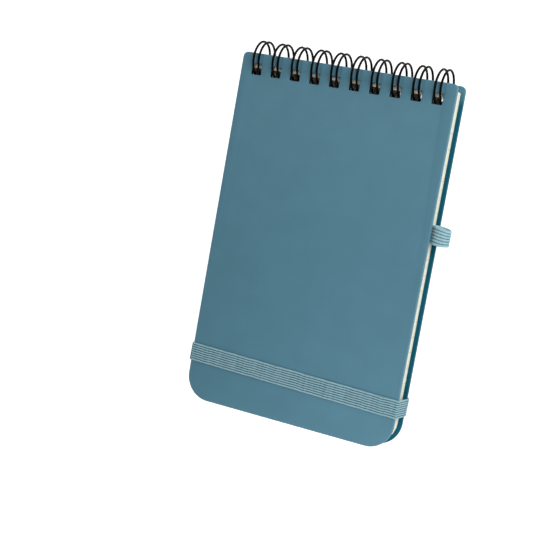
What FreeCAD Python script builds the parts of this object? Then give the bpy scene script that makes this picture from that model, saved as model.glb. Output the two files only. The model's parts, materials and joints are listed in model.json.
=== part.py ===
import FreeCAD, Part
import math
import os

# Pocket notebook bound along its top edge with a twin-loop wire.
# Working frame: X along the binding, +Y towards the binding, +Z out of the front cover.
# The covers' top edge is at Y = 0 and the middle of the thickness is at Z = 0.
# Everything is moved at the end so that the origin is the middle of the bounding box's base.

V = FreeCAD.Vector

# Driving dimensions, millimetres
COVER_WIDTH = 90.0
COVER_HEIGHT = 140.0
COVER_THICKNESS = 1.6
TOP_CORNER_RADIUS = 2.0
BOTTOM_CORNER_RADIUS = 10.0
SKIN_THICKNESS = 0.35
SKIN_EDGE_RADIUS = 0.3
LINER_THICKNESS = 0.25
FIT_GAP = 0.02

PAGE_BLOCK_THICKNESS = 7.4
PAGE_MARGIN = 1.5
PAGE_TOP = 2.6
PACK_COUNT = 8
SHEETS_PER_PACK = 9
SHEET_THICKNESS = 0.1
SHEET_PITCH = 0.1005

LOOP_COUNT = 10
LOOP_PITCH = 25.4 / 3
HOLE_SIZE = 4.2
HOLE_CORNER_RADIUS = 0.5
COVER_HOLE_Y = -6.4
PAGE_HOLE_Y = -7.7

WIRE_RADIUS = 0.45
RING_RADIUS = 6.85
RING_Y = -1.9
RING_Z = 0.4
STRAND_SPACING = 2.3
WIRE_BEND = 0.9
SPINE_ANGLE = -105.0
TIP_ANGLE = 219.0
END_STUB = 1.6

BAND_WIDTH = 7.2
BAND_THICKNESS = 0.55
BAND_SIDE_GAP = 0.15
BAND_Y = -122.4
BAND_SKEW = -1.2
BAND_INNER_RADIUS = 0.3
BAND_SPLIT = 4.9
SLIT_X = 37.0
BAND_FLANGE = 6.0
BAND_TAIL_THICKNESS = 0.5

PEN_LOOP_WIDTH = 7.1
PEN_LOOP_Y = -55.9
PEN_LOOP_X = 47.4
PEN_LOOP_RADIUS = 3.75
PEN_LOOP_THICKNESS = 0.85
PEN_TAIL_THICKNESS = 0.6
PEN_TAIL_LENGTH = 15.0

# Derived dimensions
HALF_BLOCK = PAGE_BLOCK_THICKNESS / 2
HALF_THICKNESS = HALF_BLOCK + COVER_THICKNESS
LINER_TOP = HALF_BLOCK + LINER_THICKNESS
BOARD_TOP = HALF_THICKNESS - SKIN_THICKNESS
PACK_PITCH = PAGE_BLOCK_THICKNESS / PACK_COUNT
BAND_SIDE = COVER_WIDTH / 2 + BAND_SIDE_GAP + BAND_THICKNESS
BAND_TURN = math.radians(abs(BAND_SKEW))
BAND_REACH = BAND_SIDE * math.cos(BAND_TURN) + BAND_WIDTH / 2 * math.sin(BAND_TURN)
PEN_LOOP_Z = -LINER_TOP - 0.4 + PEN_LOOP_RADIUS
ORIGIN = V(
    (PEN_LOOP_X + PEN_LOOP_RADIUS - BAND_REACH) / 2,
    (RING_Y + RING_RADIUS + WIRE_RADIUS - COVER_HEIGHT) / 2,
    RING_Z - RING_RADIUS - WIRE_RADIUS,
)


def rounded_outline(half_width, top, bottom, top_radius, bottom_radius, z):
    """Face with its own corner radii at the top and the bottom, facing +Z."""
    slant = math.sqrt(0.5)

    def corner(sx, sy, y, radius, forward):
        centre = V(sx * (half_width - radius), y - sy * radius, z)
        upright = centre + V(sx * radius, 0, 0)
        level = centre + V(0, sy * radius, 0)
        middle = centre + V(sx * radius * slant, sy * radius * slant, 0)
        ends = (upright, level) if forward else (level, upright)
        return Part.Arc(ends[0], middle, ends[1])

    arcs = [
        corner(1, 1, top, top_radius, True),
        corner(-1, 1, top, top_radius, False),
        corner(-1, -1, bottom, bottom_radius, True),
        corner(1, -1, bottom, bottom_radius, False),
    ]
    edges = []
    for index, arc in enumerate(arcs):
        following = arcs[(index + 1) % len(arcs)]
        edges.append(arc.toShape())
        edges.append(Part.LineSegment(arc.EndPoint, following.StartPoint).toShape())
    return Part.Face(Part.Wire(edges))


def rounded_plate(half_width, top, bottom, top_radius, bottom_radius, z0, z1):
    face = rounded_outline(half_width, top, bottom, top_radius, bottom_radius, z0)
    return face.extrude(V(0, 0, z1 - z0))


def block(x0, x1, y0, y1, z0, z1):
    return Part.makeBox(x1 - x0, y1 - y0, z1 - z0, V(x0, y0, z0))


def loop_positions():
    middle = (LOOP_COUNT - 1) / 2
    return [(index - middle) * LOOP_PITCH for index in range(LOOP_COUNT)]


def punch_row(hole_y, z0, z1):
    """The row of square punched holes, as one compound of prisms to cut away."""
    half = HOLE_SIZE / 2
    radius = HOLE_CORNER_RADIUS
    prism = rounded_plate(half, hole_y + half, hole_y - half, radius, radius, z0, z1)
    prisms = []
    for x in loop_positions():
        copy = prism.copy()
        copy.translate(V(x, 0, 0))
        prisms.append(copy)
    return Part.makeCompound(prisms)


def cover_plate(inset, z0, z1):
    return rounded_plate(
        COVER_WIDTH / 2 - inset,
        -inset,
        -COVER_HEIGHT + inset,
        TOP_CORNER_RADIUS - inset,
        BOTTOM_CORNER_RADIUS - inset,
        z0,
        z1,
    )


def round_outer_edges(plate):
    rim = [e for e in plate.Edges if abs(e.BoundBox.ZMin - HALF_THICKNESS) < 1e-6]
    return plate.makeFillet(SKIN_EDGE_RADIUS, rim)


def cover_layers():
    """Skin, board and liner of one cover, made as the front cover."""
    holes = punch_row(COVER_HOLE_Y, 0, HALF_THICKNESS + 1)
    plate = round_outer_edges(cover_plate(0, HALF_BLOCK, HALF_THICKNESS))
    skin = plate.cut(cover_plate(SKIN_THICKNESS, HALF_BLOCK - 1, BOARD_TOP))
    board = cover_plate(SKIN_THICKNESS + FIT_GAP, LINER_TOP, BOARD_TOP)
    liner = cover_plate(SKIN_THICKNESS + FIT_GAP, HALF_BLOCK, LINER_TOP)
    return {"skin": skin.cut(holes), "board": board.cut(holes), "liner": liner.cut(holes)}


def mirrored_to_back(shape):
    return shape.mirror(V(0, 0, 0), V(0, 0, 1))


def skewed(shape):
    """The closure band lies slightly out of square."""
    turned = shape.copy()
    turned.rotate(V(0, BAND_Y, 0), V(0, 0, 1), BAND_SKEW)
    return turned


def band_slits():
    """Slits and shallow pockets in the back cover for the closure band's two ends."""
    half = BAND_WIDTH / 2 + FIT_GAP
    cuts = []
    for side in (-1, 1):
        x0, x1 = sorted((side * (SLIT_X - FIT_GAP), side * (SLIT_X + BAND_THICKNESS + FIT_GAP)))
        cuts.append(block(x0, x1, BAND_Y - half, BAND_Y + half, -HALF_THICKNESS - 1, -LINER_TOP))
        x0, x1 = sorted((side * (SLIT_X - BAND_FLANGE - FIT_GAP), side * (SLIT_X + BAND_THICKNESS)))
        pocket_z = -LINER_TOP - BAND_TAIL_THICKNESS - FIT_GAP
        cuts.append(block(x0, x1, BAND_Y - half, BAND_Y + half, pocket_z, -LINER_TOP))
    return skewed(Part.makeCompound(cuts))


def pen_loop_slot():
    """Pocket in the back cover's board and slot in its rim for the pen loop's tail."""
    half = PEN_LOOP_WIDTH / 2 + FIT_GAP
    z0 = -LINER_TOP - PEN_TAIL_THICKNESS - FIT_GAP
    x0 = COVER_WIDTH / 2 - PEN_TAIL_LENGTH - FIT_GAP
    return block(x0, COVER_WIDTH / 2 + 1, PEN_LOOP_Y - half, PEN_LOOP_Y + half, z0, -LINER_TOP)


def front_cover():
    return {"front_cover_" + name: shape for name, shape in cover_layers().items()}


def back_cover():
    layers = {name: mirrored_to_back(shape) for name, shape in cover_layers().items()}
    slits = band_slits()
    slot = pen_loop_slot()
    for name in ("skin", "board"):
        layers[name] = layers[name].cut(slits).cut(slot)
    return {"back_cover_" + name: shape for name, shape in layers.items()}


def sheet(z):
    plain = rounded_plate(
        COVER_WIDTH / 2 - PAGE_MARGIN,
        -PAGE_TOP,
        -COVER_HEIGHT + PAGE_MARGIN,
        TOP_CORNER_RADIUS - PAGE_MARGIN,
        BOTTOM_CORNER_RADIUS - PAGE_MARGIN,
        z,
        z + SHEET_THICKNESS,
    )
    return plain.cut(punch_row(PAGE_HOLE_Y, z - 1, z + 1))


def page_packs():
    """Single sheets, grouped in packs that turn together; pack 1 is under the front cover."""
    pattern = sheet(0)
    spare = PACK_PITCH - (SHEETS_PER_PACK - 1) * SHEET_PITCH - SHEET_THICKNESS
    packs = {}
    for pack in range(PACK_COUNT):
        base = HALF_BLOCK - (pack + 1) * PACK_PITCH + spare / 2
        sheets = []
        for index in range(SHEETS_PER_PACK):
            copy = pattern.copy()
            copy.translate(V(0, 0, base + index * SHEET_PITCH))
            sheets.append(copy)
        packs["page_pack_%d" % (pack + 1)] = Part.makeCompound(sheets)
    return packs


def on_ring(x, angle):
    """Point of the wire's centre line on a ring, with the tangent towards larger angles."""
    turn = math.radians(angle)
    point = V(x, RING_Y + RING_RADIUS * math.cos(turn), RING_Z + RING_RADIUS * math.sin(turn))
    tangent = V(0, -math.sin(turn), math.cos(turn))
    return point, tangent


def ring_arc(x, start, end):
    middle = on_ring(x, (start + end) / 2)[0]
    return Part.Arc(on_ring(x, start)[0], middle, on_ring(x, end)[0]).toShape()


def spine_corner(x, side):
    """Bend between a ring strand and the spine link on its left (-1) or right (+1)."""
    point, tangent = on_ring(x, SPINE_ANGLE)
    along = V(side, 0, 0)
    centre = point + along * WIRE_BEND
    on_link = centre - tangent * WIRE_BEND
    middle = centre - (along + tangent) * (WIRE_BEND * math.sqrt(0.5))
    if side < 0:
        return Part.Arc(on_link, middle, point).toShape()
    return Part.Arc(point, middle, on_link).toShape()


def loop_edges(x):
    """One double loop: up the left strand, round the tip and back down the right strand."""
    left = x - STRAND_SPACING / 2
    right = x + STRAND_SPACING / 2
    tip_left, tangent = on_ring(left, TIP_ANGLE)
    tip_right = on_ring(right, TIP_ANGLE)[0]
    tip_middle = (tip_left + tip_right) * 0.5 + tangent * (STRAND_SPACING / 2)
    return [
        spine_corner(left, -1),
        ring_arc(left, SPINE_ANGLE, TIP_ANGLE),
        Part.Arc(tip_left, tip_middle, tip_right).toShape(),
        ring_arc(right, TIP_ANGLE, SPINE_ANGLE),
        spine_corner(right, 1),
    ]


def wire_path():
    edges = []
    for x in loop_positions():
        loop = loop_edges(x)
        start = loop[0].firstVertex().Point
        previous = edges[-1].lastVertex().Point if edges else start - V(END_STUB, 0, 0)
        edges.append(Part.LineSegment(previous, start).toShape())
        edges.extend(loop)
    last = edges[-1].lastVertex().Point
    edges.append(Part.LineSegment(last, last + V(END_STUB, 0, 0)).toShape())
    return edges


def binding_wire():
    edges = wire_path()
    start = edges[0].firstVertex().Point
    section = Part.Wire(Part.makeCircle(WIRE_RADIUS, start, V(1, 0, 0)))
    solid = Part.Wire(edges).makePipeShell([section], True, False)
    expected = math.pi * WIRE_RADIUS ** 2 * sum(edge.Length for edge in edges)
    print("wire volume %.2f, section times length %.2f" % (solid.Volume, expected))
    return {"binding_wire": solid}


def rounded_tube_section(half_x, half_z, radius):
    face = rounded_outline(half_x, half_z, -half_z, radius, radius, 0)
    face.rotate(V(0, 0, 0), V(1, 0, 0), 90)
    face.translate(V(0, BAND_Y + BAND_WIDTH / 2, 0))
    return face.extrude(V(0, -BAND_WIDTH, 0))


def closure_band():
    """One elastic band, in five stretches: front, two sides and the two ends in the back cover."""
    outer_z = HALF_THICKNESS + FIT_GAP + BAND_THICKNESS
    outer = rounded_tube_section(BAND_SIDE, outer_z, BAND_INNER_RADIUS + BAND_THICKNESS)
    inner_z = HALF_THICKNESS + FIT_GAP
    inner = rounded_tube_section(BAND_SIDE - BAND_THICKNESS, inner_z, BAND_INNER_RADIUS)
    ring = outer.cut(inner)
    reach = COVER_WIDTH
    y0 = BAND_Y - BAND_WIDTH
    y1 = BAND_Y + BAND_WIDTH
    pieces = {"band_front": ring.common(block(-reach, reach, y0, y1, BAND_SPLIT, reach))}
    for side, name in ((-1, "left"), (1, "right")):
        x0, x1 = sorted((side * SLIT_X, side * reach))
        low = -BAND_SPLIT + FIT_GAP
        pieces["band_%s_side" % name] = ring.common(block(x0, x1, y0, y1, low, BAND_SPLIT - FIT_GAP))
        pieces["band_%s_end" % name] = band_end(ring, side)
    return {name: skewed(shape) for name, shape in pieces.items()}


def band_end(ring, side):
    """The end under the back cover: in through a slit and flat under the liner."""
    half = BAND_WIDTH / 2
    x0, x1 = sorted((side * SLIT_X, side * COVER_WIDTH))
    outside = ring.common(block(x0, x1, BAND_Y - BAND_WIDTH, BAND_Y + BAND_WIDTH, -COVER_WIDTH, -BAND_SPLIT))
    x0, x1 = sorted((side * SLIT_X, side * (SLIT_X + BAND_THICKNESS)))
    through = block(x0, x1, BAND_Y - half, BAND_Y + half, -HALF_THICKNESS - FIT_GAP, -LINER_TOP)
    x0, x1 = sorted((side * (SLIT_X - BAND_FLANGE), side * SLIT_X))
    flange_z = -LINER_TOP - BAND_TAIL_THICKNESS
    flange = block(x0, x1, BAND_Y - half, BAND_Y + half, flange_z, -LINER_TOP)
    return outside.fuse([through, flange]).removeSplitter()


def pen_loop():
    """Elastic loop beside the page edge, with its doubled tail in the back cover."""
    half = PEN_LOOP_WIDTH / 2
    base = V(PEN_LOOP_X, PEN_LOOP_Y - half, PEN_LOOP_Z)
    outer = Part.makeCylinder(PEN_LOOP_RADIUS, PEN_LOOP_WIDTH, base, V(0, 1, 0))
    inner_radius = PEN_LOOP_RADIUS - PEN_LOOP_THICKNESS
    inner = Part.makeCylinder(inner_radius, PEN_LOOP_WIDTH, base, V(0, 1, 0))
    x0 = COVER_WIDTH / 2 - PEN_TAIL_LENGTH
    z0 = -LINER_TOP - PEN_TAIL_THICKNESS
    tail = block(x0, PEN_LOOP_X, PEN_LOOP_Y - half, PEN_LOOP_Y + half, z0, -LINER_TOP)
    return {"pen_loop": outer.fuse(tail).cut(inner).removeSplitter()}


def main():
    os.makedirs("parts", exist_ok=True)
    for group in (front_cover, back_cover, page_packs, binding_wire, closure_band, pen_loop):
        for name, shape in group().items():
            shape.translate(-ORIGIN)
            shape.exportStep("parts/" + name + ".step")
            print(name, len(shape.Solids), shape.isValid(), round(shape.Volume, 1))
    print("origin", ORIGIN)


main()
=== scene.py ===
from collections import namedtuple
import json
import math
import random

import bmesh
import bpy
from mathutils import Matrix, Vector


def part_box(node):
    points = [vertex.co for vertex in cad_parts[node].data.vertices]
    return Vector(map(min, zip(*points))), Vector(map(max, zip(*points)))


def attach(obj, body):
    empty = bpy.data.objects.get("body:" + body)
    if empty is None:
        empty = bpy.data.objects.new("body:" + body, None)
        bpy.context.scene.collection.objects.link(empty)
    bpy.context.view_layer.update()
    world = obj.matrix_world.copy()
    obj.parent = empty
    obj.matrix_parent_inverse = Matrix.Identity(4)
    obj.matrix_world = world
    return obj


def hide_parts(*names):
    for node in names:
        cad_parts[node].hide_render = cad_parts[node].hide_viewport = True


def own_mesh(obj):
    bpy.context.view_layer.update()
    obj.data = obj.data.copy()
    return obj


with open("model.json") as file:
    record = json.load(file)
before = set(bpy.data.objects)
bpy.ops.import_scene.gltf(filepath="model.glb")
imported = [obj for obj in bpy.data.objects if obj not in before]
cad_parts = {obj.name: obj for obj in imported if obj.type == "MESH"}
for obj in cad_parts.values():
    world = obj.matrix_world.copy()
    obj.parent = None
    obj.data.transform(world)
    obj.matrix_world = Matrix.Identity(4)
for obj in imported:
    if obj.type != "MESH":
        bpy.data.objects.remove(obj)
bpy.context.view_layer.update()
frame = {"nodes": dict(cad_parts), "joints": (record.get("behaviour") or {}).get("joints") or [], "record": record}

MM = 0.001
UP = Vector((0, 0, 1))
random.seed(9)

# ---------------------------------------------------------------- sizes the frame gives

JOINTS = {joint["name"]: joint for joint in frame["joints"]}
BAND_CENTRE = Vector(JOINTS["band_release"]["pos_m"])
BAND_ALONG = Vector(JOINTS["band_release"]["axis"]).normalized()
BAND_ACROSS = UP.cross(BAND_ALONG)
MIDDLE_X = BAND_CENTRE.x
COVER_LOW, COVER_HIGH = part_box("front_cover_skin")
_, BOARD_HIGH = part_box("front_cover_board")
BACK_LOW, BACK_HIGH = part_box("back_cover_skin")
BACK_BOARD_LOW, BACK_BOARD_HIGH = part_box("back_cover_board")
COVER_TOP = COVER_HIGH.y

# ---------------------------------------------------------------- sizes the frame doesn't give

# Covers and their punched holes. LIP_MIDDLE is the share of a hole's rounding left at its middle ring,
# and the last size is the stretch beside the binding where the rim and liners turn from painted shade to a paler
# lit tone.
LOOPS = 10
LOOP_PITCH = 25.4 / 3 * MM
HOLE_SIZE = 4.2 * MM
HOLE_RADIUS = 0.5 * MM
COVER_HOLE_DROP = 6.4 * MM
TOP_RADIUS = 2.0 * MM
BOTTOM_RADIUS = 10.0 * MM
SKIN = 0.35 * MM
EDGE_ROUND = 0.3 * MM
HOLE_ROUND = 0.12 * MM
LIP_MIDDLE = 0.3
LIT_STRETCH = 9.0 * MM

# Sheets. RULE_TOP and RULE_END are the margins above and below the ruled lines.
PAGE_HOLE_DROP = 7.7 * MM
PAGE_MARGIN = 1.5 * MM
SHEETS_PER_PACK = 9
SHEET_THICKNESS = 0.1 * MM
SHEET_STRAY = 0.05 * MM
RULE_PITCH = 6.0 * MM
RULE_WIDTH = 0.22 * MM
RULE_TOP = 18.0 * MM
RULE_END = 5.0 * MM

# Closure band. Its ends begin BAND_SPLIT above the back cover's outer face and bend into the slits.
BAND_WIDTH = 7.2 * MM
BAND_THICKNESS = 0.55 * MM
BAND_CORNER = 0.85 * MM
BAND_RIBS = 8
BAND_SPLIT = 0.4 * MM
SLIT_X = 37.0 * MM
SLIT_SIZE = (0.59 * MM, 7.24 * MM)
SLIT_BEND = 0.5 * MM

# Pen loop. It narrows and droops away from the cover, and its tail eases into the circle over the first
# PEN_SETTLE of PEN_TURN degrees.
PEN_LOOP_WIDTH = 7.1 * MM
PEN_LOOP_THICKNESS = 0.85 * MM
PEN_RIBS = 6
PEN_WAIST = 0.13
PEN_DROOP = 0.1
PEN_DROOP_START = 3.0 * MM
PEN_TAIL_RISE = 0.3 * MM
PEN_TAIL_STOP = 1.2 * MM
PEN_TURN = 352
PEN_SETTLE = 0.2

# The elastics' shape: the ribs' plait, the shares of the thickness left in grooves and at selvages, and
# how many ribs a selvage's rounding takes
PLAIT_PITCH = 0.7 * MM
PLAIT_RELIEF = 0.035
GROOVE_SHARE = 0.7
SELVAGE_SHARE = 0.35
SELVAGE_RIBS = 0.25

# The elastics' pattern and where their selvages' painted highlight starts, in units of their UV map: millimetres
# along, 0-1 across
THREAD_PITCH = 0.45
RIB_WANDER = 0.08
SELVAGE_START = 0.47

# Mesh steps
STEP = 0.2 * MM
COVER_CORNER_STEPS = 12
SHEET_CORNER_STEPS = 6
COVER_HOLE_STEPS = 4
SHEET_HOLE_STEPS = 2
ROUND_STEPS = 4
POINTS_PER_RIB = 6
PEN_STEPS = 120

# Relief of the surfaces' grain
LEATHER_RELIEF = 0.02 * MM
DIMPLE_RELIEF = 0.03 * MM
BOARD_RELIEF = 0.05 * MM
PAPER_RELIEF = 0.02 * MM
ENAMEL_RELIEF = 0.01 * MM
THREAD_RELIEF = 0.02 * MM
FUZZ_RELIEF = 0.03 * MM

# Material slots of the covers' skins and of the sheets
SKIN_FACE, SKIN_RIM, SKIN_PUNCHED = range(3)
SHEET_FACE, SHEET_EDGE, SHEET_PUNCHED = range(3)

# ---------------------------------------------------------------- colours, as 0-255 display values

COVER_BLUE = (76, 120, 137)
# Painted shade and light: the rim and liner teals are darker than the cover to stand for the pages' shade, and the
# paler rim colour is their lit tone beside the binding.
RIM_SHADE_TEAL = (10, 84, 104)
RIM_LIT_TONE = (84, 128, 146)
LINER_SHADE_TEAL = (10, 84, 104)
# Painted shade: the board, which shows as the walls of the covers' punched holes, is near-black to stand for the
# shade inside them.
BOARD_HOLE_SHADE = (14, 18, 20)
CREAM = (248, 244, 226)
# Painted shade: the sheets' outer edges are a darker, greyer copy of the paper, for the shade on the side of the
# page block.
PAGE_EDGE_SHADE = (206, 208, 194)
# Painted shade: the sheets' punched hole walls are a dark brown-grey to stand for the shade inside the punched
# stack.
PUNCHED_EDGE_SHADE = (70, 62, 50)
# Painted highlight and shade: the elastics' ridge colours are lighter and their groove colours darker than the
# yarn, for how light falls on the ribs.
BAND_RIDGE_HIGHLIGHT = (136, 172, 182)
BAND_GROOVE_SHADE = (34, 66, 78)
PEN_RIDGE_HIGHLIGHT = (146, 181, 190)
PEN_GROOVE_SHADE = (62, 102, 112)
WIRE_BLACK = (3, 2, 2)
RULE_GREY = (168, 176, 172)

# ---------------------------------------------------------------- camera, light and floor

YAW, PITCH, ROLL = (math.radians(angle) for angle in (25.1, 6.5, 10.14))
VIEW_DISTANCE = 536.1 * MM
VIEW_OFFSET = (13.38 * MM, -12.52 * MM)
LENS = 89.3
SENSOR = 36.0
CLIP_START = 0.01
FLOOR_REACH = 5.0
WALL_HEIGHT = 1.8
FLOOR_GREY = 0.45
FLOOR_GLOW = 0.9
SKY_STRENGTH = 0.05
LIGHTS = (
    # name, place, aim, size, watts
    ("key", (-0.15, 0.3, 0.35), (0, 0, 0), 0.1, 0.62),
    ("fill", (0.3, 0.2, 0.3), (0, 0, 0), 0.4, 1.74),
    ("low", (0.05, -0.18, 0.14), (0.02, -0.06, 0), 0.12, 0.225),
)


def make_camera():
    data = bpy.data.cameras.new("camera")
    data.lens = LENS
    data.sensor_width = SENSOR
    data.clip_start = CLIP_START
    camera = bpy.data.objects.new("camera", data)
    turn = Matrix.Rotation(YAW, 4, "Y") @ Matrix.Rotation(-PITCH, 4, "X") @ Matrix.Rotation(ROLL, 4, "Z")
    aim = Vector((MIDDLE_X, (COVER_HIGH.y + COVER_LOW.y) / 2, COVER_HIGH.z))
    back_off = turn @ Vector((-VIEW_OFFSET[0], VIEW_OFFSET[1], VIEW_DISTANCE))
    camera.matrix_world = Matrix.Translation(aim + back_off) @ turn
    bpy.context.scene.collection.objects.link(camera)
    bpy.context.scene.camera = camera


def area_light(name, place, aim, size, power):
    data = bpy.data.lights.new(name, "AREA")
    data.size = size
    data.energy = power
    light = bpy.data.objects.new(name, data)
    direction = Vector(aim) - Vector(place)
    light.matrix_world = Matrix.Translation(place) @ direction.to_track_quat("-Z", "Y").to_matrix().to_4x4()
    light.visible_camera = False
    bpy.context.scene.collection.objects.link(light)


def make_lights():
    world = bpy.data.worlds.new("studio")
    world.use_nodes = True
    background = world.node_tree.nodes["Background"]
    background.inputs["Color"].default_value = (1, 1, 1, 1)
    background.inputs["Strength"].default_value = SKY_STRENGTH
    bpy.context.scene.world = world
    for name, place, aim, size, power in LIGHTS:
        area_light(name, place, aim, size, power)


def make_floor():
    """Floor with low walls round it, so that level views end in white too."""
    mesh = bpy.data.meshes.new("floor")
    corners = [(-1, -1), (1, -1), (1, 1), (-1, 1)]
    places = [(x * FLOOR_REACH, y * FLOOR_REACH, z) for z in (0, WALL_HEIGHT) for x, y in corners]
    walls = [(index, (index + 1) % 4, (index + 1) % 4 + 4, index + 4) for index in range(4)]
    mesh.from_pydata(places, [], [(0, 1, 2, 3)] + walls)
    floor = bpy.data.objects.new("floor", mesh)
    bpy.context.scene.collection.objects.link(floor)
    mesh.materials.append(floor_material())


# ---------------------------------------------------------------- material helpers

def linear(red, green, blue):
    """Linear colour from 0-255 display values."""
    def convert(value):
        share = value / 255
        return share / 12.92 if share <= 0.04045 else ((share + 0.055) / 1.055) ** 2.4
    return (convert(red), convert(green), convert(blue))


def scaled(colour, factor):
    return tuple(channel * factor for channel in colour)


def new_material(name, roughness, specular):
    made = bpy.data.materials.new(name)
    made.use_nodes = True
    shader = made.node_tree.nodes["Principled BSDF"]
    shader.inputs["Roughness"].default_value = roughness
    shader.inputs["Specular IOR Level"].default_value = specular
    return made, made.node_tree, shader


def place_output(tree, output="Object"):
    return tree.nodes.new("ShaderNodeTexCoord").outputs[output]


def axes(tree, place):
    """The place's X, Y and Z, by name."""
    split = tree.nodes.new("ShaderNodeSeparateXYZ")
    tree.links.new(place, split.inputs["Vector"])
    return split.outputs


def noise(tree, place, scale, detail=2.0, roughness=0.5):
    """Noise whose grains are about 1/scale across, in units of the place."""
    node = tree.nodes.new("ShaderNodeTexNoise")
    node.inputs["Scale"].default_value = scale
    node.inputs["Detail"].default_value = detail
    node.inputs["Roughness"].default_value = roughness
    tree.links.new(place, node.inputs["Vector"])
    return node.outputs["Fac"]


def ramp(tree, value, stops):
    """Colour ramp through (position, colour) stops."""
    node = tree.nodes.new("ShaderNodeValToRGB")
    for element, (position, colour) in zip(node.color_ramp.elements, stops):
        element.position = position
        element.color = (*colour, 1)
    tree.links.new(value, node.inputs["Fac"])
    return node.outputs["Color"]


def varied(tree, value, colour, darkest, lightest, start=0.3, end=0.7):
    """The colour times darkest where the value is at start, up to lightest where it is at end."""
    return ramp(tree, value, [(start, scaled(colour, darkest)), (end, scaled(colour, lightest))])


def spread(tree, value, low, high, start=0.3, end=0.7):
    """A number from low where the value is at start, up to high where it is at end."""
    node = tree.nodes.new("ShaderNodeMapRange")
    node.inputs["From Min"].default_value = start
    node.inputs["From Max"].default_value = end
    node.inputs["To Min"].default_value = low
    node.inputs["To Max"].default_value = high
    tree.links.new(value, node.inputs["Value"])
    return node.outputs["Result"]


def arithmetic(tree, operation, first, second=None, third=None):
    node = tree.nodes.new("ShaderNodeMath")
    node.operation = operation
    for index, value in enumerate((first, second, third)):
        if value is None:
            continue
        if isinstance(value, (int, float)):
            node.inputs[index].default_value = value
        else:
            tree.links.new(value, node.inputs[index])
    return node.outputs["Value"]


def add_bump(tree, shader, height, depth):
    """Relief of the given depth in metres, from a 0-1 height, on top of any relief already there."""
    node = tree.nodes.new("ShaderNodeBump")
    node.inputs["Distance"].default_value = depth
    tree.links.new(height, node.inputs["Height"])
    previous = shader.inputs["Normal"].links
    if previous:
        tree.links.new(previous[0].from_socket, node.inputs["Normal"])
    tree.links.new(node.outputs["Normal"], shader.inputs["Normal"])


def add_leather_grain(tree, shader, place):
    grain = noise(tree, place, scale=3600, detail=3, roughness=0.6)
    add_bump(tree, shader, grain, LEATHER_RELIEF)


# ---------------------------------------------------------------- materials

def floor_material():
    """White sweep that glows a little, so that shadows on it stay faint."""
    made, _, shader = new_material("floor_white", roughness=0.95, specular=0.1)
    shader.inputs["Base Color"].default_value = (FLOOR_GREY, FLOOR_GREY, FLOOR_GREY, 1)
    shader.inputs["Emission Color"].default_value = (1, 1, 1, 1)
    shader.inputs["Emission Strength"].default_value = FLOOR_GLOW
    return made


def soft_touch(name, colour):
    """Matte rubbery coating: faint mottling, a fine leathery grain and an uneven gloss."""
    made, tree, shader = new_material(name, roughness=0.6, specular=0.3)
    place = place_output(tree)
    mottle = noise(tree, place, scale=90, detail=3)
    tree.links.new(varied(tree, mottle, colour, 0.965, 1.035), shader.inputs["Base Color"])
    gloss = spread(tree, noise(tree, place, scale=1400), low=0.56, high=0.68)
    tree.links.new(gloss, shader.inputs["Roughness"])
    add_leather_grain(tree, shader, place)
    add_bump(tree, shader, noise(tree, place, scale=650), DIMPLE_RELIEF)
    return made


def shaded_touch(name, colour, worn_and_lit_tone):
    """The same coating in a darker teal of painted shade, painted paler as lit over the stretch beside the
    binding, where the pages cast no shadow.
    """
    made, tree, shader = new_material(name, roughness=0.7, specular=0.1)
    place = place_output(tree)
    # Painted light: the tone turns paler over the stretch beside the binding, with a patchy border.
    above = arithmetic(tree, "SUBTRACT", axes(tree, place)["Y"], COVER_TOP - LIT_STRETCH)
    share = arithmetic(tree, "DIVIDE", above, LIT_STRETCH)
    patches = noise(tree, place, scale=400, detail=3)
    uneven = arithmetic(tree, "MULTIPLY_ADD", patches, 0.5, share)
    tree.links.new(ramp(tree, uneven, [(0.45, colour), (1.0, worn_and_lit_tone)]), shader.inputs["Base Color"])
    add_leather_grain(tree, shader, place)
    return made


def fibre_board(name, colour):
    made, tree, shader = new_material(name, roughness=0.85, specular=0.2)
    grain = noise(tree, place_output(tree), scale=2500, detail=4, roughness=0.7)
    tint = varied(tree, grain, colour, 0.75, 1.25, start=0.25, end=0.75)
    tree.links.new(tint, shader.inputs["Base Color"])
    add_bump(tree, shader, grain, BOARD_RELIEF)
    return made


def paper(name, colour, ruled):
    """Uncoated paper, with faint ruled lines where it is ruled."""
    made, tree, shader = new_material(name, roughness=0.8, specular=0.25)
    place = place_output(tree)
    fibre = noise(tree, place, scale=1800, detail=4, roughness=0.65)
    tint = varied(tree, fibre, colour, 0.97, 1.02, start=0.25, end=0.75)
    if ruled:
        tint = with_ruled_lines(tree, place, tint)
    tree.links.new(tint, shader.inputs["Base Color"])
    add_bump(tree, shader, fibre, PAPER_RELIEF)
    return made


def with_ruled_lines(tree, place, tint):
    y = axes(tree, place)["Y"]
    phase = arithmetic(tree, "MODULO", arithmetic(tree, "SUBTRACT", COVER_TOP - RULE_TOP, y), RULE_PITCH)
    line = arithmetic(tree, "LESS_THAN", phase, RULE_WIDTH)
    below = arithmetic(tree, "LESS_THAN", y, COVER_TOP - RULE_TOP + RULE_WIDTH)
    above = arithmetic(tree, "GREATER_THAN", y, COVER_LOW.y + PAGE_MARGIN + RULE_END)
    mask = arithmetic(tree, "MULTIPLY", arithmetic(tree, "MULTIPLY", line, below), above)
    mix = tree.nodes.new("ShaderNodeMix")
    mix.data_type = "RGBA"
    tree.links.new(mask, mix.inputs["Factor"])
    tree.links.new(tint, mix.inputs["A"])
    mix.inputs["B"].default_value = (*linear(*RULE_GREY), 1)
    return mix.outputs["Result"]


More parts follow.
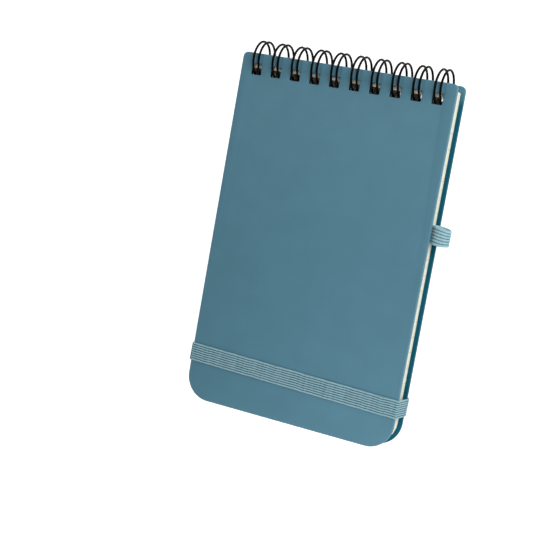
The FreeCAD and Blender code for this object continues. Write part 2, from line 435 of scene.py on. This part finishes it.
def enamel_wire(name):
    """Black enamelled steel wire with a slightly uneven satin coat."""
    made, tree, shader = new_material(name, roughness=0.42, specular=0.05)
    place = place_output(tree)
    coat = noise(tree, place, scale=900)
    tree.links.new(varied(tree, coat, linear(*WIRE_BLACK), 0.7, 1.4), shader.inputs["Base Color"])
    gloss = spread(tree, noise(tree, place, scale=2500), low=0.34, high=0.46)
    tree.links.new(gloss, shader.inputs["Roughness"])
    add_bump(tree, shader, coat, ENAMEL_RELIEF)
    return made


def rib_ridges(tree, uv, across, ribs):
    """1 on the ribs and 0 in the grooves between them, which wander a little: the mask for the ribs' painted
    highlight and the grooves' painted shade.
    """
    drift = noise(tree, uv, scale=0.22, detail=1)
    wander = arithmetic(tree, "MULTIPLY_ADD", drift, RIB_WANDER, -RIB_WANDER / 2)
    turns = arithmetic(tree, "MULTIPLY", arithmetic(tree, "ADD", across, wander), 2 * math.pi * ribs)
    return arithmetic(tree, "MULTIPLY_ADD", arithmetic(tree, "COSINE", turns), -0.5, 0.5)


def woven_elastic(name, light, dark, ribs, ridge_end):
    """Ribbed elastic, placed by the strip's own UV map.

    The ridges carry a painted highlight and the grooves between them painted shade, and fine threads cross them.
    The lower ridge_end is, the narrower the grooves are. Both selvages carry a painted highlight.
    """
    made, tree, shader = new_material(name, roughness=0.85, specular=0.15)
    uv = place_output(tree, "UV")
    split = axes(tree, uv)
    ridge = rib_ridges(tree, uv, split["Y"], ribs)
    threads = arithmetic(tree, "SINE", arithmetic(tree, "MULTIPLY", split["X"], 2 * math.pi / THREAD_PITCH))
    fuzz = noise(tree, place_output(tree), scale=5000, detail=3, roughness=0.7)
    worn_and_lit_tone = arithmetic(tree, "MULTIPLY_ADD", noise(tree, uv, scale=0.9), 0.5, -0.25)
    shade = arithmetic(tree, "MULTIPLY_ADD", fuzz, 0.3, arithmetic(tree, "ADD", ridge, worn_and_lit_tone))
    shade = arithmetic(tree, "MULTIPLY_ADD", threads, 0.08, shade)
    from_middle = arithmetic(tree, "ABSOLUTE", arithmetic(tree, "SUBTRACT", split["Y"], 0.5))
    # Painted highlight along both selvages.
    selvage_highlight = arithmetic(tree, "GREATER_THAN", from_middle, SELVAGE_START)
    shade = arithmetic(tree, "MULTIPLY_ADD", selvage_highlight, 0.5, shade)
    # Ramp from the grooves' painted shade to the ridges' painted highlight.
    tree.links.new(ramp(tree, shade, [(0.1, dark), (ridge_end, light)]), shader.inputs["Base Color"])
    add_bump(tree, shader, threads, THREAD_RELIEF)
    add_bump(tree, shader, fuzz, FUZZ_RELIEF)
    return made


# ---------------------------------------------------------------- mesh helpers

def new_piece(name, mesh, materials, body, nodes):
    piece = bpy.data.objects.new(name, mesh)
    bpy.context.scene.collection.objects.link(piece)
    for material in materials:
        mesh.materials.append(material)
    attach(piece, body)
    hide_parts(*nodes)
    return piece


def mesh_from(bm, name, smooth_angle=None):
    bmesh.ops.recalc_face_normals(bm, faces=bm.faces)
    mesh = bpy.data.meshes.new(name)
    bm.to_mesh(mesh)
    bm.free()
    if smooth_angle is not None:
        mesh.shade_smooth()
        mesh.set_sharp_from_angle(angle=math.radians(smooth_angle))
    return mesh


def rounded_ring(low, high, top_radius, bottom_radius, inset, steps):
    """Points round a rectangle with rounded corners, anticlockwise, moved inwards by inset."""
    corners = [
        (high[0], high[1], -1, -1, top_radius, 0),
        (low[0], high[1], 1, -1, top_radius, 90),
        (low[0], low[1], 1, 1, bottom_radius, 180),
        (high[0], low[1], -1, 1, bottom_radius, 270),
    ]
    points = []
    for x, y, to_x, to_y, radius, start in corners:
        reach = radius - inset
        centre = (x + to_x * radius, y + to_y * radius)
        for step in range(steps + 1):
            angle = math.radians(start + 90 * step / steps)
            points.append((centre[0] + reach * math.cos(angle), centre[1] + reach * math.sin(angle)))
    return points


def add_ring(bm, points, z):
    return [bm.verts.new((x, y, z)) for x, y in points]


def join_rings(bm, rings, material_index):
    for first, second in zip(rings, rings[1:]):
        count = len(first)
        for index in range(count):
            following = (index + 1) % count
            quad = (first[index], first[following], second[following], second[index])
            bm.faces.new(quad).material_index = material_index


def cap(bm, loops):
    """Flat face inside the first loop and outside the others."""
    edges = []
    for loop in loops:
        for index, vert in enumerate(loop):
            other = loop[(index + 1) % len(loop)]
            edges.append(bm.edges.get((vert, other)) or bm.edges.new((vert, other)))
    bmesh.ops.triangle_fill(bm, use_beauty=True, use_dissolve=False, edges=edges)


def hole_rings(drop, steps, inset=0.0):
    """The row of punched holes, as rings of points. A negative inset widens them."""
    half = HOLE_SIZE / 2
    rings = []
    for index in range(LOOPS):
        x = MIDDLE_X + (index - (LOOPS - 1) / 2) * LOOP_PITCH
        y = COVER_TOP - drop
        low, high = (x - half, y - half), (x + half, y + half)
        rings.append(rounded_ring(low, high, HOLE_RADIUS, HOLE_RADIUS, inset, steps))
    return rings


# ---------------------------------------------------------------- covers

def slit_rings():
    rings = []
    for side in (-1, 1):
        centre = BAND_CENTRE + BAND_ALONG * side * (SLIT_X + BAND_THICKNESS / 2)
        ring = []
        for u, v in ((1, 1), (-1, 1), (-1, -1), (1, -1)):
            corner = centre + BAND_ALONG * (u * SLIT_SIZE[0] / 2) + BAND_ACROSS * (v * SLIT_SIZE[1] / 2)
            ring.append((corner.x, corner.y))
        rings.append(ring)
    return rings


def add_rim(bm, low, high, outer_z, inner_z, roof_z):
    """Pocket wall, rim and rounded edge. Returns their last rings, on the outer face and on the roof."""
    away = 1 if outer_z > inner_z else -1
    soft = EDGE_ROUND / 3

    def outline(inset, z):
        points = rounded_ring(low, high, TOP_RADIUS, BOTTOM_RADIUS, inset, COVER_CORNER_STEPS)
        return add_ring(bm, points, z)

    side = [
        outline(SKIN, roof_z),
        outline(SKIN, inner_z),
        outline(soft, inner_z),
        outline(0, inner_z + away * soft),
        outline(0, outer_z - away * EDGE_ROUND),
    ]
    join_rings(bm, side, SKIN_RIM)
    rounding = [side[-1]]
    for step in range(1, ROUND_STEPS + 1):
        angle = math.radians(90 * step / ROUND_STEPS)
        inset = EDGE_ROUND * (1 - math.cos(angle))
        rounding.append(outline(inset, outer_z - away * EDGE_ROUND * (1 - math.sin(angle))))
    join_rings(bm, rounding, SKIN_FACE)
    return rounding[-1], side[0]


def add_holes(bm, outer_z, roof_z):
    """Walls and softened lips of the punched holes. Returns each hole's rings on the face and roof."""
    away = 1 if outer_z > roof_z else -1
    ends = []
    for narrow, middle, wide in zip(
        hole_rings(COVER_HOLE_DROP, COVER_HOLE_STEPS),
        hole_rings(COVER_HOLE_DROP, COVER_HOLE_STEPS, -HOLE_ROUND * LIP_MIDDLE),
        hole_rings(COVER_HOLE_DROP, COVER_HOLE_STEPS, -HOLE_ROUND),
    ):
        wall = [add_ring(bm, narrow, roof_z), add_ring(bm, narrow, outer_z - away * HOLE_ROUND)]
        join_rings(bm, wall, SKIN_PUNCHED)
        middle_z = outer_z - away * HOLE_ROUND * LIP_MIDDLE
        lip = [wall[-1], add_ring(bm, middle, middle_z), add_ring(bm, wide, outer_z)]
        join_rings(bm, lip, SKIN_FACE)
        ends.append((lip[-1], wall[0]))
    return ends


def add_slits(bm, outer_z, roof_z):
    ends = []
    for ring in slit_rings():
        wall = [add_ring(bm, ring, roof_z), add_ring(bm, ring, outer_z)]
        join_rings(bm, wall, SKIN_PUNCHED)
        ends.append((wall[-1], wall[0]))
    return ends


def cover_skin(side, low, high, outer_z, inner_z, roof_z, materials, with_slits):
    """Tray-shaped skin: the outer face, its rounded rim and the pocket that holds board and liner."""
    bm = bmesh.new()
    ends = [add_rim(bm, low, high, outer_z, inner_z, roof_z)]
    ends += add_holes(bm, outer_z, roof_z)
    if with_slits:
        ends += add_slits(bm, outer_z, roof_z)
    cap(bm, [outer for outer, _ in ends])
    cap(bm, [roof for _, roof in ends])
    name = side + "_cover_shell"
    mesh = mesh_from(bm, name, smooth_angle=30)
    return new_piece(name, mesh, materials, side + "_cover", [side + "_cover_skin"])


def make_covers():
    skin = soft_touch("soft_touch_cover", linear(*COVER_BLUE))
    # Painted shade on the back cover's rim, paler beside the binding where it is lit.
    rim = shaded_touch("back_cover_rim_painted_shade", linear(*RIM_SHADE_TEAL), linear(*RIM_LIT_TONE))
    # Painted shade: near-black board, also used on the walls of the covers' punched holes.
    board = fibre_board("board_hole_shade", linear(*BOARD_HOLE_SHADE))
    # Painted shade on the liners, paler beside the binding where they are lit.
    liner = shaded_touch("teal_liner_painted_shade", linear(*LINER_SHADE_TEAL), linear(*RIM_LIT_TONE))
    cover_skin(
        "front", COVER_LOW, COVER_HIGH, COVER_HIGH.z, COVER_LOW.z, BOARD_HIGH.z,
        [skin, skin, board], with_slits=False,
    )
    cover_skin(
        "back", BACK_LOW, BACK_HIGH, BACK_LOW.z, BACK_HIGH.z, BACK_BOARD_LOW.z,
        [skin, rim, board], with_slits=True,
    )
    for side in ("front", "back"):
        frame["nodes"][side + "_cover_board"].data.materials[0] = board
        frame["nodes"][side + "_cover_liner"].data.materials[0] = liner


# ---------------------------------------------------------------- pages

def add_sheet(bm, low, high, z, shift):
    """One sheet of paper with its punched holes."""
    moved_low = (low.x + shift[0], low.y + shift[1])
    moved_high = (high.x + shift[0], high.y + shift[1])
    top_radius, bottom_radius = TOP_RADIUS - PAGE_MARGIN, BOTTOM_RADIUS - PAGE_MARGIN
    rings = [rounded_ring(moved_low, moved_high, top_radius, bottom_radius, 0, SHEET_CORNER_STEPS)]
    for ring in hole_rings(PAGE_HOLE_DROP, SHEET_HOLE_STEPS):
        rings.append([(x + shift[0], y + shift[1]) for x, y in ring])
    bottoms = [add_ring(bm, ring, z) for ring in rings]
    tops = [add_ring(bm, ring, z + SHEET_THICKNESS) for ring in rings]
    for number, walls in enumerate(zip(bottoms, tops)):
        join_rings(bm, walls, SHEET_EDGE if number == 0 else SHEET_PUNCHED)
    cap(bm, bottoms)
    cap(bm, tops)


def make_pages():
    materials = [None] * 3
    materials[SHEET_FACE] = paper("ruled_paper", linear(*CREAM), ruled=True)
    # Painted shade on the sheets' outer edges.
    materials[SHEET_EDGE] = paper("paper_edge", linear(*PAGE_EDGE_SHADE), ruled=False)
    # Painted shade on the walls of the sheets' punched holes.
    materials[SHEET_PUNCHED] = paper("punched_paper_shade", linear(*PUNCHED_EDGE_SHADE), ruled=False)
    packs = sorted(node for node in frame["nodes"] if node.startswith("page_pack_"))
    for node in packs:
        low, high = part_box(node)
        pitch = (high.z - low.z - SHEET_THICKNESS) / (SHEETS_PER_PACK - 1)
        bm = bmesh.new()
        for index in range(SHEETS_PER_PACK):
            shift = (random.uniform(-SHEET_STRAY, SHEET_STRAY), random.uniform(-SHEET_STRAY, SHEET_STRAY))
            add_sheet(bm, low, high, low.z + index * pitch, shift)
        number = node.rsplit("_", 1)[1]
        mesh = mesh_from(bm, "sheets_" + number)
        new_piece("sheets_" + number, mesh, materials, "pages_" + number, [node])


# ---------------------------------------------------------------- elastics

Elastic = namedtuple("Elastic", "width thickness ribs material slot")


def arc_points(centre, radius, start, end, step):
    """(place, outward normal) pairs round an arc in the (along, up) plane, angles in degrees."""
    count = max(2, int(abs(math.radians(end - start)) * radius / step))
    pairs = []
    for index in range(count + 1):
        angle = math.radians(start + (end - start) * index / count)
        normal = (math.cos(angle), math.sin(angle))
        pairs.append(((centre[0] + radius * normal[0], centre[1] + radius * normal[1]), normal))
    return pairs


def line_points(start, end, normal, step):
    """The same pairs along a straight line."""
    count = max(1, int(math.dist(start, end) / step))
    pairs = []
    for index in range(count + 1):
        share = index / count
        place = (start[0] + (end[0] - start[0]) * share, start[1] + (end[1] - start[1]) * share)
        pairs.append((place, normal))
    return pairs


def without_doubles(pairs):
    kept = [pairs[0]]
    for pair in pairs[1:]:
        if math.dist(pair[0], kept[-1][0]) > 1e-7:
            kept.append(pair)
    return kept


def rib_profile(kind):
    """Half outline of the strip's section: (share across, distance across, half height, rib number)."""
    rows = []
    total = kind.ribs * POINTS_PER_RIB
    for index in range(total + 1):
        share = index / total
        swell = math.sin(math.pi * kind.ribs * share) ** 2
        from_edge = min(share, 1 - share) * kind.ribs
        end = min(1.0, math.sqrt(from_edge / SELVAGE_RIBS))
        height = kind.thickness / 2
        height *= GROOVE_SHARE + (1 - GROOVE_SHARE) * swell
        height *= SELVAGE_SHARE + (1 - SELVAGE_SHARE) * end
        rows.append((share, (share - 0.5) * kind.width, height, min(kind.ribs - 1, int(share * kind.ribs))))
    return rows


def section(kind, profile, travelled):
    """(share across, distance across, lift) round the whole section, at a distance along the strip."""
    points = []
    for side, rows in ((1, profile), (-1, profile[-2:0:-1])):
        for share, offset, height, rib in rows:
            wave = math.cos(2 * math.pi * travelled / PLAIT_PITCH + math.pi * (rib % 2))
            relief = kind.thickness * PLAIT_RELIEF * (wave - 1) * min(1, height / kind.thickness * 2)
            points.append((share, offset, side * (height + relief)))
    return points


def skin_sections(bm, rings):
    """Faces between neighbouring rings of (place, UV) and over both ends."""
    layer = bm.loops.layers.uv.new("strip")
    verts = [[bm.verts.new(place) for place, _ in ring] for ring in rings]
    count = len(rings[0])
    for row in range(len(rings) - 1):
        for index in range(count):
            following = (index + 1) % count
            keys = ((row, index), (row + 1, index), (row + 1, following), (row, following))
            face = bm.faces.new([verts[r][i] for r, i in keys])
            for loop, (r, i) in zip(face.loops, keys):
                loop[layer].uv = rings[r][i][1]
    for row in (0, len(rings) - 1):
        bm.faces.new(verts[row])


def elastic_strip(name, kind, pairs, origin, along, across, body, node, shape_at=None):
    """Ribbed strip swept along a path in the (along, up) plane, with plaited threads on its ribs.

    shape_at gives the share of the width left at a distance along, and how far the strip has drifted.
    """
    pairs = without_doubles(pairs)
    profile = rib_profile(kind)
    rings = []
    travelled = 0.0
    before = pairs[0][0]
    for (a, b), (na, nb) in pairs:
        travelled += math.dist((a, b), before)
        before = (a, b)
        centre = origin + along * a + UP * b
        normal = along * na + UP * nb
        left, drift = shape_at(a) if shape_at else (1.0, 0.0)
        ring = []
        for share, offset, lift in section(kind, profile, travelled):
            place = centre + across * (offset * left + drift) + normal * lift
            ring.append((place, (travelled / MM, share)))
        rings.append(ring)
    bm = bmesh.new()
    skin_sections(bm, rings)
    mesh = mesh_from(bm, name, smooth_angle=60)
    return new_piece(name, mesh, [kind.material], body, [node])


def band_front_path(edge, top, bottom, bend):
    """Up the left side, over the front cover and down the right side."""
    path = line_points((-edge, bottom), (-edge, top - bend), (-1, 0), STEP)
    path += arc_points((-edge + bend, top - bend), bend, 180, 90, STEP)
    path += line_points((-edge + bend, top), (edge - bend, top), (0, 1), STEP)
    path += arc_points((edge - bend, top - bend), bend, 90, 0, STEP)
    path += line_points((edge, top - bend), (edge, bottom), (1, 0), STEP)
    return path


def band_end_path(side, edge, bottom, bend, tuck):
    """Down the side, under the back cover and up into its slit."""
    split = BACK_LOW.z + BAND_SPLIT
    start = 0 if side > 0 else 180
    turn_in = (side * (tuck + SLIT_BEND), bottom)
    path = line_points((side * edge, split), (side * edge, bottom + bend), (side, 0), STEP)
    path += arc_points((side * (edge - bend), bottom + bend), bend, start, start - side * 90, STEP)
    path += line_points((side * (edge - bend), bottom), turn_in, (0, -1), STEP)
    path += arc_points((turn_in[0], bottom + SLIT_BEND), SLIT_BEND, -90, -90 - side * 90, STEP / 2)
    inside = (side * tuck, BACK_BOARD_HIGH.z)
    path += line_points((side * tuck, bottom + SLIT_BEND), inside, (-side, 0), STEP)
    return path


def make_band():
    """The band in five strips: the front and two sides move, the two ends stay with the back cover."""
    material = woven_elastic("band_elastic", linear(*BAND_RIDGE_HIGHLIGHT), linear(*BAND_GROOVE_SHADE), BAND_RIBS, 1.0)
    kind = Elastic(BAND_WIDTH, BAND_THICKNESS, BAND_RIBS, material, "band_elastic")
    front_low, front_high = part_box("band_front")
    side_low, side_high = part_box("band_right_side")
    end_low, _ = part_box("band_right_end")
    middle = Vector((BAND_CENTRE.x, BAND_CENTRE.y, 0))
    half = BAND_THICKNESS / 2
    bend = BAND_CORNER - half
    turn = math.atan2(-BAND_ALONG.y, BAND_ALONG.x)
    edge = (front_high.x - MIDDLE_X - BAND_WIDTH / 2 * math.sin(turn)) / math.cos(turn) - half
    bottom = end_low.z + half

    def strip(name, path, body, node):
        return elastic_strip(name, kind, path, middle, BAND_ALONG, BAND_ACROSS, body, node)

    front = band_front_path(edge, front_high.z - half, front_low.z, bend)
    strip("band_front_elastic", front, "closure_band", "band_front")
    for side, word in ((-1, "left"), (1, "right")):
        leg = line_points((side * edge, side_high.z), (side * edge, side_low.z), (side, 0), STEP)
        piece = strip("band_%s_side_elastic" % word, leg, "closure_band", "band_%s_side" % word)
        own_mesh(piece)
        end = band_end_path(side, edge, bottom, bend, SLIT_X + half)
        strip("band_%s_end_elastic" % word, end, "back_cover", "band_%s_end" % word)


def pen_loop_path(start_x, tail_z, centre, radius):
    """Out along the tail, then once round the loop, settling from the tail onto the circle."""
    path = line_points((start_x, tail_z), (centre.x - PEN_TAIL_STOP, tail_z), (0, -1), STEP)
    drop = centre.z - radius - tail_z
    for index in range(PEN_STEPS + 1):
        share = index / PEN_STEPS
        angle = math.radians(-90 + PEN_TURN * share)
        reach = radius + drop * max(0.0, 1 - share / PEN_SETTLE) ** 2
        normal = (math.cos(angle), math.sin(angle))
        path.append(((centre.x + reach * normal[0], centre.z + reach * normal[1]), normal))
    return path


def make_pen_loop():
    material = woven_elastic("pen_elastic", linear(*PEN_RIDGE_HIGHLIGHT), linear(*PEN_GROOVE_SHADE), PEN_RIBS, 0.7)
    kind = Elastic(PEN_LOOP_WIDTH, PEN_LOOP_THICKNESS, PEN_RIBS, material, "pen_elastic")
    low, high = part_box("pen_loop")
    mount = next(m for m in frame["record"]["mounts"] if m["name"] == "pen_loop")
    centre = Vector(mount["pos_m"])
    radius = mount["dims"]["r_mm"] * MM + PEN_LOOP_THICKNESS / 2
    origin = Vector((0, (low.y + high.y) / 2, 0))

    def waist_and_droop(a):
        waist = 1 - PEN_WAIST * max(0.0, (a - centre.x) / radius) ** 2
        return waist, -PEN_DROOP * max(0.0, a - BACK_HIGH.x + PEN_DROOP_START)

    elastic_strip(
        "pen_loop_elastic", kind, pen_loop_path(low.x, low.z + PEN_TAIL_RISE, centre, radius),
        origin, Vector((1, 0, 0)), Vector((0, 1, 0)), "back_cover", "pen_loop", waist_and_droop,
    )


def make_wire():
    frame["nodes"]["binding_wire"].data.materials[0] = enamel_wire("black_enamel")


make_camera()
make_lights()
make_floor()
make_covers()
make_pages()
make_band()
make_pen_loop()
make_wire()
bpy.context.scene.view_settings.view_transform = "Standard"

bpy.context.view_layer.update()
